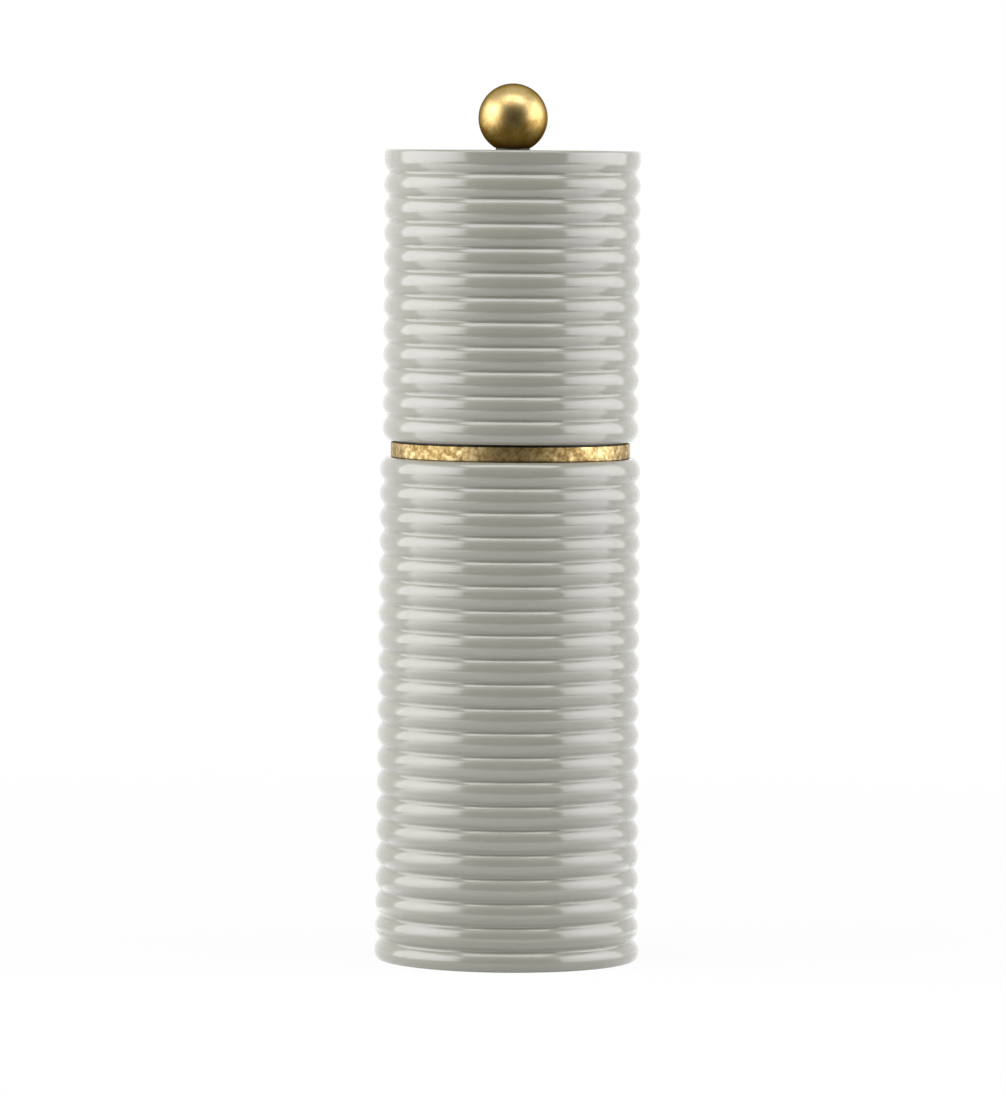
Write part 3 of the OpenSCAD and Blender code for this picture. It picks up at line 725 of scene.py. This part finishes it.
def head_profile(turning):
    """Closed profile of the head: the ribs, the square top rib, the stepped hole for the shaft,
    the tenon with its snap groove, and the underside."""
    radius, bead, pitch = outer("head_casing"), turning.bead, head_pitch(turning)
    base, top_z = top("glide_ring"), top("head_casing")
    centres = np.array([(radius - bead, base + (i + 0.5) * pitch) for i in range(turning.head_ribs)])
    start = -math.asin(pitch / 2 / bead)
    ribs = rib_line(centres, [bead] * len(centres), start, 0.0, turning)
    lip, lip_top, lip_low = snap_lip()
    groove, groove_top, groove_low = lip - FIT, lip_top + FIT, lip_low - FIT
    tenon, end = lip + LIP_REACH - FIT, top("drive_plate")
    bush, bush_z = outer("top_bush") + FIT, low("top_bush")
    small, chamfer = 0.1 * MM, 0.8 * MM
    over = rounded([centres[-1] + (bead, 0), (radius, top_z), (bush, top_z), (bush, bush_z),
                    (SHAFT_HOLE, bush_z), (SHAFT_HOLE, end), (tenon, end), (tenon, groove_low),
                    (groove, groove_low), (groove, groove_top), (tenon, groove_top),
                    (tenon, base), (radius - bead + bead * math.cos(start), base)],
                   [turning.rim, 0.2 * MM, small, small, 0.5 * MM, chamfer] + [small] * 5, steps=7)
    return np.vstack([ribs, over])


class MILL_OT_body_turning(bpy.types.Operator):
    """Make the ribbed, lacquered body with its bores"""
    bl_idname = "mill.body_turning"
    bl_label = "Body"

    def execute(self, context):
        turning, colours = context.scene.mill_turning, context.scene.mill_colours
        neck, rise = bore("band_ring"), turning.foot_rise
        slope = turning.taper / (low("band_ring") - rise)
        crests = outer("body_casing") - turning.foot_spread + slope * rise
        groove = crests - turning.bead + rib_reach(turning, body_pitch(turning)) - turning.groove
        finish = lacquered_beech("lacquered_body", colours, lambda height: groove - height * slope,
                                 lambda radius, height: radius < neck)
        add_piece("body_turning", carried_round(body_profile(turning), turning.columns), True,
                  "body_casing", finish)
        return {"FINISHED"}


class MILL_OT_head_turning(bpy.types.Operator):
    """Make the ribbed, lacquered head with its tenon"""
    bl_idname = "mill.head_turning"
    bl_label = "Head"

    def execute(self, context):
        turning, colours = context.scene.mill_turning, context.scene.mill_colours
        tenon, base = bore("glide_ring") + 0.5 * MM, top("glide_ring") + 0.1 * MM
        hole = outer("top_bush") + 0.1 * MM

        reach = rib_reach(turning, head_pitch(turning))
        groove = outer("head_casing") - turning.bead + reach - turning.groove
        finish = lacquered_beech("lacquered_head", colours, lambda height: groove,
            lambda radius, height: (radius < tenon) * (height < base) | (radius < hole))
        add_piece("head_turning", carried_round(head_profile(turning), turning.columns), True,
                  "head_casing", finish)
        return {"FINISHED"}


# ---------------- rings, ball, shaft and spring

class MILL_OT_rings(bpy.types.Operator):
    """Make the rings: gilded band, washers, bush, nylon insert and glide ring"""
    bl_idname = "mill.rings"
    bl_label = "Rings and washers"

    def execute(self, context):
        add_ring("gilded_band", "band_ring", 0.3, WIDE_RING_COLUMNS)
        edges = {"knob_washer": 0.12, "top_bush": 0.15, "lock_insert": 0.15, "thrust_washer": 0.1,
                 "rotor_washer": 0.08}
        for node, edge in edges.items():
            add_ring(node + "_turned", node, edge, 96)
        add_piece("glide_ring_moulded", carried_round(glide_profile(), WIDE_RING_COLUMNS), True,
                  "glide_ring")
        return {"FINISHED"}


def add_ring(name, node, edge, columns):
    """Adds a ring over a solid: a rectangle carried round, its corners rounded by edge mm."""
    inner, radius, foot, peak = bore(node), outer(node), low(node), top(node)
    seam = inner, (foot + peak) / 2
    profile = rounded([seam, (inner, foot), (radius, foot), (radius, peak), (inner, peak), seam],
                      edge * MM)[:-1]
    add_piece(name, carried_round(profile, columns), True, node)


def glide_profile():
    """Closed profile of the glide ring: a flange under the head, and a sleeve round the tenon
    with a snap lip inside."""
    node = "glide_ring"
    lip, lip_top, lip_low = snap_lip()
    flange, under, head, foot = outer(node), top("band_ring"), top(node), low(node)
    inner, sleeve = lip + LIP_REACH, lip + 1.5 * MM
    seam = inner, (head + lip_top) / 2
    return rounded([seam, (inner, lip_top), (lip, lip_top), (lip, lip_low), (inner, lip_low),
                    (inner, foot), (sleeve, foot), (sleeve, under), (flange, under),
                    (flange, head), (inner, head), seam],
                   MM * np.array([0.05, 0.15, 0.15, 0.02, 0.02, 0.3, 0.2, 0.12, 0.12, 0.1]))[:-1]


class MILL_OT_ball_knob(bpy.types.Operator):
    """Make the brass ball knob with its flat and its threaded hole"""
    bl_idname = "mill.ball_knob"
    bl_label = "Ball knob"

    def execute(self, context):
        node = "ball_knob"
        radius, flat_z = outer(node), low(node)
        centre = top(node) - radius
        thread, seat = bore("lock_insert"), outer("lock_insert") + FIT
        seat_z, bore_z = top("lock_insert"), flat_z + 12.5 * MM
        drill_point = 0.01 * MM, bore_z + 1.2 * MM
        angle = np.linspace(math.pi / 2, math.asin((flat_z - centre) / radius), 60)[1:]
        ball = np.stack([radius * np.cos(angle), centre + radius * np.sin(angle)], axis=-1)
        flat = rounded([*ball[-2:], (seat, flat_z), (seat, seat_z), (thread, seat_z),
                        (thread, bore_z), drill_point], MM * np.array([0.1, 0.25, 0.05, 0.2, 0.1]))
        profile = np.vstack([ball[:-2], flat])
        add_piece("ball_knob_turned", carried_round(profile, 128), False, node)
        return {"FINISHED"}


class MILL_OT_shaft(bpy.types.Operator):
    """Make the square shaft with its helical thread and its turned lower end"""
    bl_idname = "mill.shaft"
    bl_label = "Drive shaft"

    def execute(self, context):
        grid = shaft_grid(context.scene.mill_grinder)
        add_piece("drive_shaft_bar", grid, False, "drive_shaft")
        return {"FINISHED"}


def shaft_grid(grinder, columns=96):
    """Grid of the shaft from its lower end up: a turned end with the clip's groove, a square bar
    with blunted corners, and the thread. The thread's radius at angle a and height z is
    R - d (1 - |2 f - 1|), where f is the fraction of z / pitch - a / 360 degrees."""
    half, pitch, depth = outer("drive_shaft"), grinder.thread_pitch, grinder.thread_depth
    foot, peak = low("drive_shaft"), top("drive_shaft")
    shoulder, thread_z = low("rotor_hub"), top("head_casing") - 9.7 * MM
    tail, groove, crest = 2.4 * MM, 1.9 * MM, 2.45 * MM
    clip_low, clip_top = low("shaft_clip") - FIT, top("shaft_clip")
    chamfer, run_out, lead_in = 0.3 * MM, 0.6 * MM, 0.8 * MM
    tail_grid = carried_round([(tail - chamfer, foot), (tail, foot + chamfer), (tail, clip_low),
                               (groove, clip_low), (groove, clip_top), (tail, clip_top),
                               (tail, shoulder)], columns)
    corner = half * math.sqrt(2)
    square = polygon_radius(columns, 4, half, corner - 0.18 * MM)
    slim = polygon_radius(columns, 4, half - 0.15 * MM, corner - 0.4 * MM)
    bar = rows_of_radii([slim, square, square, slim],
                        [shoulder, shoulder + 0.15 * MM, thread_z - chamfer, thread_z])
    z = np.linspace(thread_z, peak, int((peak - thread_z) / pitch * 8))[:, None]
    fraction = np.mod(z / pitch - even_angles(columns) / TURN, 1)
    cut = depth * (1 - np.abs(2 * fraction - 1)) * np.clip((z - thread_z) / run_out, 0, 1)
    end_cut = depth * np.clip(1 - (peak - z) / lead_in, 0, 1)
    return np.concatenate([tail_grid, bar, rows_of_radii(crest - np.maximum(cut, end_cut), z)])


class MILL_OT_spring(bpy.types.Operator):
    """Make the coil spring with its closed and ground ends"""
    bl_idname = "mill.spring"
    bl_label = "Spring"

    def execute(self, context):
        ends = (0, 0, top("spring")), (0, 0, low("spring"))
        add_piece("spring_coil", spring_grid(context.scene.mill_grinder), False, "spring",
                  stretched=(body_of_node("thrust_washer"), *ends))
        return {"FINISHED"}


def spring_grid(grinder, steps=240, sides=16):
    """Grid of a wire along a helix: rings about a point that turns and climbs. The climb over the
    share s of the wire is s minus a sine, so that the end turns nearly close, and heights past
    the two seats are cut flat, as if ground."""
    seat, ceiling = low("spring"), top("spring")
    wire = grinder.wire / 2
    share = np.linspace(0, 1, steps)[:, None]
    climb = share - 0.055 * np.sin(TURN * share)
    ring = even_angles(sides)[None, :]
    turn = TURN * grinder.coil_turns * share
    radius = outer("spring") - wire + wire * np.cos(ring)
    z = seat + wire * 0.6 + (ceiling - seat - 1.2 * wire) * climb + wire * np.sin(ring)
    return np.stack([radius * np.cos(turn), radius * np.sin(turn), np.clip(z, seat, ceiling)], axis=-1)


# ---------------- grinder

class MILL_OT_grinder(bpy.types.Operator):
    """Make the toothed ceramic rotor and stator"""
    bl_idname = "mill.grinder"
    bl_label = "Rotor and stator"

    def execute(self, context):
        grinder = context.scene.mill_grinder
        add_piece("rotor_fired", rotor_grid(grinder), True, "rotor")
        add_piece("stator_fired", stator_grid(grinder), True, "stator")
        return {"FINISHED"}


def saw(teeth):
    """One tooth after another round the axis: a slow rise from 0 to 1 and a quick fall."""
    share = np.mod(np.arange(TOOTH_COLUMNS) * teeth / TOOTH_COLUMNS, 1)
    return np.where(share < 0.75, share / 0.75, (1 - share) / 0.25)


def grinding_cone(grinder, node, foot_r, mouth_r, scoops):
    """What rotor and stator share, by rows up the cone and columns round it: heights, radii,
    depth of the fine teeth, how far up from the waist each row is, how far into a scoop each
    column is, and lead. The fine teeth end a third of the way up from the waist."""
    base, peak = low(node), top(node)
    waist_z = base + grinder.fine_height
    z = np.concatenate([np.linspace(base, waist_z, 9), np.linspace(waist_z, peak, 19)[1:]])
    radii = np.interp(z, [base, waist_z, peak], [foot_r, foot_r - grinder.waist, mouth_r])
    up = np.clip((z - waist_z) / (peak - waist_z), 0, 1)[:, None]
    fine = saw(grinder.teeth) * grinder.tooth_depth * np.clip(1 - up * 3, 0, 1)
    wave = np.cos(np.arange(TOOTH_COLUMNS) / TOOTH_COLUMNS * TURN * scoops)
    lead = grinder.lead * (z - base) / (peak - base)
    return z, radii[:, None], fine, up, np.clip(wave, 0, None), lead


def rotor_grid(grinder):
    """Grid of the rotor: a cone with a fine saw-toothed band below and coarse scooped grooves
    above, all turned steadily with height, round a hexagonal bore."""
    z, cone, fine, up, scoop, lead = grinding_cone(grinder, "rotor", GRINDING_FOOT, 7.5 * MM,
                                                   grinder.rotor_grooves)
    deepening = np.sin(np.clip(up * 1.2, 0, 1) * math.pi / 2)
    coarse = scoop ** 0.7 * grinder.groove_depth * deepening
    outside = rows_of_radii(cone - fine - coarse, z, -lead)
    hexagon = polygon_radius(TOOTH_COLUMNS, 6, bore("rotor"), 6 * MM)
    return np.concatenate([outside, rows_of_radii([hexagon, hexagon], [z[-1], z[0]])])


def stator_grid(grinder):
    """Grid of the stator: an inner cone with fine teeth below and shallow scoops up to its mouth,
    turned against the rotor's, inside a ring with two lugs."""
    z, cone, fine, up, scoop, lead = grinding_cone(
        grinder, "stator", GRINDING_FOOT + GRINDING_GAP, 14.5 * MM, 2 * grinder.rotor_grooves)
    coarse = scoop * grinder.scoop_depth * np.sin(up * math.pi)
    inside = rows_of_radii(cone + fine + coarse, z, lead)[::-1]
    ring, lug, lug_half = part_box("stator")[1].x, outer("stator"), 1.5 * MM
    on_lug = np.abs(np.cos(even_angles(TOOTH_COLUMNS))) * lug < lug_half
    outline = np.where(on_lug, lug, ring)
    return np.concatenate([inside, rows_of_radii([outline, outline], [z[0], z[-1]])])


class MILL_OT_hub_and_sleeve(bpy.types.Operator):
    """Make the hub under the rotor and the sleeve on the shaft, both with square holes"""
    bl_idname = "mill.hub_and_sleeve"
    bl_label = "Hub and sleeve"

    def execute(self, context):
        columns, soft = 144, 0.25 * MM
        across, point = outer("drive_shaft") + 0.08 * MM, 5.2 * MM
        square = polygon_radius(columns, 4, across, across * math.sqrt(2) - 0.05 * MM)
        hexagon = polygon_radius(columns, 6, point * math.cos(math.pi / 6), point - 0.05 * MM)
        foot, step, peak = low("rotor_hub"), low("rotor"), top("rotor_hub")
        rim = np.full(columns, outer("rotor_hub"))
        hub = rows_of_radii([square, square + soft, hexagon - soft, hexagon, hexagon, rim - soft,
                             rim, rim, rim - soft, square + soft, square],
                            [peak - soft, peak, peak, peak - soft, step, step, step - soft,
                             foot + soft, foot, foot, foot + soft])
        add_piece("rotor_hub_moulded", hub, True, "rotor_hub")
        foot, peak = low("shaft_sleeve"), top("shaft_sleeve")
        wall = np.full(columns, outer("shaft_sleeve"))
        sleeve = rows_of_radii([square, wall - soft, wall, wall, wall - soft, square],
                               [foot, foot, foot + soft, peak - soft, peak, peak])
        add_piece("shaft_sleeve_moulded", sleeve, True, "shaft_sleeve")
        return {"FINISHED"}


class MILL_OT_carried_solids(bpy.types.Operator):
    """Give the solids that show as they are their finishes"""
    bl_idname = "mill.carried_solids"
    bl_label = "Housing, plates, clips and screws"

    def execute(self, context):
        for name, solid in frame["nodes"].items():
            if not solid.hide_render:
                solid.data.materials.clear()
                solid.data.materials.append(finish_of(name))
        return {"FINISHED"}


# ---------------- studio

# Azimuth, distance and width of each side lamp, its share of the side light, the share of its
# own brightness that it keeps at its rim, and its lean
SIDE_LAMPS = {
    "left_softbox": (-80, 0.75, 1.13, 1.0, 0.9, 8),
    "left_core": (-72, 0.74, 0.87, 0.72, 0.0, 8),
    "right_softbox": (86.2, 0.75, 1.08, 0.8, 0.9, -8),
    "right_core": (80, 0.74, 0.87, 0.76, 0.0, -8),
}

# Place, width and depth of each glow, and its brightness in front of the mill and far to the side
FLOOR_GLOWS = {
    "left_glow": (-0.42, -0.18, 0.74, 0.46, 0.5, 2.1),
    "right_glow": (0.42, -0.18, 0.74, 0.46, 0.5, 2.0),
    "front_glow": (0, -0.19, 0.1, 0.28, 0.5, 0.5),
}


def seen_directly(mix):
    """1 for rays from the camera and for those that gloss or glass sends on, else 0."""
    outputs = mix.node("LightPath").socket.node.outputs
    camera, glossy, glass = (Wire(mix, outputs[name]) for name in (
        "Is Camera Ray", "Is Glossy Ray", "Is Transmission Ray"))
    return mix.maths("MINIMUM", camera + glossy + glass, 1.0)


def floor_finish():
    """Pale floor that turns to plain white away from the mill and keeps a soft shadow near it."""
    mix = Recipe("pale_floor")
    radius, _, _ = mix.around()
    white = seen_directly(mix) * mix.between(radius, 0.12, 0.7, 0.93, 1.0)
    lit = mix.node("BsdfPrincipled", {"Base Color": srgb(236, 238, 244), "Roughness": 0.7})
    both = mix.node("MixShader", {0: white, 1: lit, 2: mix.shine(1.0)})
    mix.node("OutputMaterial", {0: both})
    return mix.holder


def dark_card_finish():
    """Matt black cloth of the cards that give the mill's gloss its dark edges."""
    mix = Recipe("dark_card")
    weave = mix.noise(800, 2.0)
    cloth = mix.mixed(weave, srgb(20, 20, 20), srgb(34, 34, 34))
    return mix.finished(Base_Color=cloth, Roughness=0.9)


def facing(azimuth, elevation, distance, aim):
    """Matrix that puts something at a distance from a point and turns its -Z side to it. Azimuth
    0 is the front and 90 the right."""
    return (Matrix.Translation(aim) @ Matrix.Rotation(math.radians(azimuth), 4, "Z")
            @ Matrix.Rotation(math.radians(90 - elevation), 4, "X")
            @ Matrix.Translation((0, 0, distance)))


def add_lamp(name, width, height, matrix, brightness, share):
    """Rectangular lamp that the camera doesn't see. Its face has the given brightness, where 1
    shows as white, times what share(mix) gives."""
    lamp = bpy.data.lights.new(name, "AREA")
    lamp.shape = "RECTANGLE"
    lamp.size, lamp.size_y = width, height
    lamp.energy = brightness * math.pi * width * height
    lamp.color = (0.99, 0.98, 1.05)
    mix = Recipe(name, lamp)
    mix.node("OutputLight", {0: mix.shine(share(mix))})
    added = add_object(name, lamp, matrix)
    added.visible_camera = False
    return added


def add_softbox(name, width, height, matrix, brightness, rim=1.0):
    """Lamp that fades from its middle to the share rim at its edges as two crossed parabolas."""
    def share(mix):
        across, up, _ = mix.split(mix.node("NewGeometry", output=5))
        return rim + 16 * across * (1 - across) * up * (1 - up) * (1 - rim)
    add_lamp(name, width, height, matrix, brightness, share)


def add_floor_glow(name, x, y, width, depth, near, far):
    """Lamp flat on the floor that only gloss and glass see, as the light that a softbox leaves
    there. Its brightness goes from near to far with the distance to the side."""
    def share(mix):
        aside, _, _ = mix.split(mix.node("NewGeometry", output=0))
        return mix.between(mix.maths("ABSOLUTE", aside), 0.08, 0.3, near, far)
    flat = Matrix.Translation((x, y, 2 * MM)) @ Matrix.Rotation(math.pi, 4, "X")
    add_lamp(name, width, depth, flat, 1.0, share).visible_diffuse = False


def add_sheet(name, width, height, finish, matrix=None):
    """Rectangle that is part of the studio, flat and centred before the matrix moves it."""
    corners = np.array([(-1, -1, 0), (1, -1, 0), (1, 1, 0), (-1, 1, 0)]) * (width / 2, height / 2, 1)
    mesh = bpy.data.meshes.new(name)
    mesh.from_pydata(corners.tolist(), [], [(0, 1, 2, 3)])
    mesh.materials.append(finish)
    sheet = add_object(name, mesh, matrix)
    return sheet


def add_card(name, width, height, finish, matrix):
    """Dark card that only gloss and glass see."""
    card = add_sheet(name, width, height, finish, matrix)
    card.visible_camera = card.visible_diffuse = card.visible_shadow = False


def add_world(fill):
    """White surroundings for the camera, gloss and glass, and an even fill for the rest."""
    world = bpy.data.worlds.new("studio_world")
    bpy.context.scene.world = world
    mix = Recipe("studio_world", world)
    strength = fill + seen_directly(mix) * (1 - fill)
    background = mix.node("Background", {"Color": WHITE, "Strength": strength})
    mix.node("OutputWorld", {0: background})


def add_camera(studio):
    """Camera in front of the mill, which looks a little down."""
    lens = bpy.data.cameras.new("camera")
    lens.lens = studio.lens
    lens.sensor_width = 36.0
    looking = Matrix.Rotation(math.pi / 2 - studio.tilt, 4, "X")
    place = Matrix.Translation((-studio.aside, -studio.distance, studio.height))
    rolled = Matrix.Rotation(studio.roll, 4, "Z")
    bpy.context.scene.camera = add_object("camera", lens, place @ looking @ rolled)


class MILL_OT_stage(bpy.types.Operator):
    """Set up the floor, the lamps, the dark cards, the world and the camera"""
    bl_idname = "mill.stage"
    bl_label = "Studio"

    def execute(self, context):
        studio, lamp_height, floor_width = context.scene.mill_studio, 0.87, 18.0
        add_sheet("floor", floor_width, floor_width, floor_finish())
        for name, (azimuth, distance, width, share, rim, lean) in SIDE_LAMPS.items():
            matrix = facing(azimuth, 0, distance, (0, 0, 0.44))
            leant = matrix @ Matrix.Rotation(math.radians(lean), 4, "Z")
            add_softbox(name, width, lamp_height, leant, studio.side_light * share, rim)
        overhead = facing(0, 90, 0.72, (0, -0.25, 0.13))
        add_softbox("top_softbox", 0.86, 0.26, overhead, studio.top_light)
        for name, numbers in FLOOR_GLOWS.items():
            add_floor_glow(name, *numbers)
        dark = dark_card_finish()
        add_card("front_card", 3.0, 1.36, dark, facing(0, 0, 1.25, (0, 0, 0.66)))
        add_card("near_card", 2.4, 0.92, dark, facing(0, 90, 0.004, (0, -0.79, 0)))
        add_world(studio.fill)
        add_camera(studio)
        context.scene.view_settings.view_transform = "Standard"
        return {"FINISHED"}


# ---------------- add-on

OPERATORS = (MILL_OT_stage, MILL_OT_body_turning, MILL_OT_head_turning, MILL_OT_rings,
             MILL_OT_ball_knob, MILL_OT_shaft, MILL_OT_spring, MILL_OT_grinder,
             MILL_OT_hub_and_sleeve, MILL_OT_carried_solids)
GROUPS = {"mill_turning": MillTurning, "mill_grinder": MillGrinder, "mill_colours": MillColours,
          "mill_studio": MillStudio}


class MILL_PT_panel(bpy.types.Panel):
    """The mill's sizes, colours and pieces"""
    bl_idname = "MILL_PT_panel"
    bl_label = "Pepper mill"
    bl_space_type = "VIEW_3D"
    bl_region_type = "UI"
    bl_category = "Pepper mill"

    def draw(self, context):
        for name, group in GROUPS.items():
            box = self.layout.box()
            for setting in group.__annotations__:
                box.prop(getattr(context.scene, name), setting)
        for operator in OPERATORS:
            self.layout.operator(operator.bl_idname)


def register():
    """Registers the classes and hangs the settings on the scene."""
    for made in (*GROUPS.values(), *OPERATORS, MILL_PT_panel):
        bpy.utils.register_class(made)
    for name, group in GROUPS.items():
        setattr(bpy.types.Scene, name, PointerProperty(type=group))


def unregister():
    """Takes the settings and classes away again."""
    for name in GROUPS:
        delattr(bpy.types.Scene, name)
    for made in reversed((*GROUPS.values(), *OPERATORS, MILL_PT_panel)):
        bpy.utils.unregister_class(made)


def main():
    """Makes every piece and the studio."""
    register()
    for operator in OPERATORS:
        group, name = operator.bl_idname.split(".")
        if getattr(getattr(bpy.ops, group), name)() != {"FINISHED"}:
            raise RuntimeError(operator.bl_idname + " did not finish")


if __name__ == "__main__":
    main()
